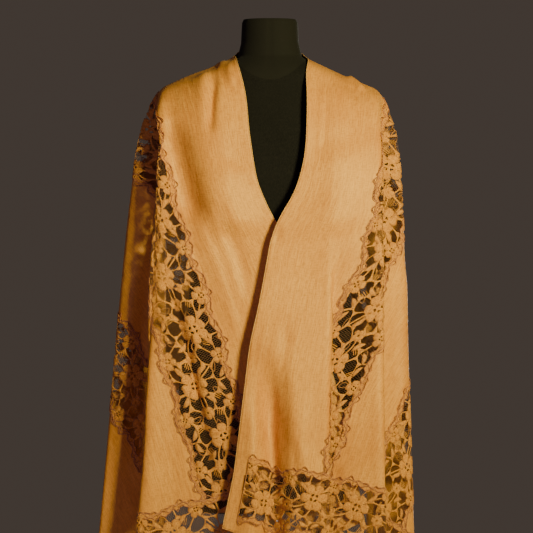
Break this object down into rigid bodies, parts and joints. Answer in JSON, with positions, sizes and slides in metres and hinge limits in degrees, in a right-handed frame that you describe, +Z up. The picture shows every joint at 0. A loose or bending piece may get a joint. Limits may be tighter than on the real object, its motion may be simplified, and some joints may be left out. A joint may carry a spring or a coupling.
{
  "type": "lace shawl on dress form",
  "caption": "Long woven shawl with lace bands let in along its edges and ends, worn open over a limbless dress form on a round stand.",
  "frame": {"origin": "centre of the stand base's flat underside", "axes": "+Z up, the front faces -Y, +X is the wearer's left"},
  "size_m": [0.6012, 0.3392, 1.5],
  "materials": {
    "cloth": "plain weave",
    "lace": "lace",
    "form": "matt black cover",
    "stand": "satin black"
  },
  "bodies": {
    "root": {"dress_form": "form", "pole": "stand", "base": "stand", "ground_neck": "cloth", "ground_middle": "cloth", "ground_hem": "cloth", "ground_left_end": "cloth", "ground_right_end": "cloth", "lace_left_upper": "lace", "lace_left_lower": "lace", "lace_left_end": "lace", "lace_right_upper": "lace", "lace_right_lower": "lace", "lace_right_end": "lace"}
  },
  "joints": []
}
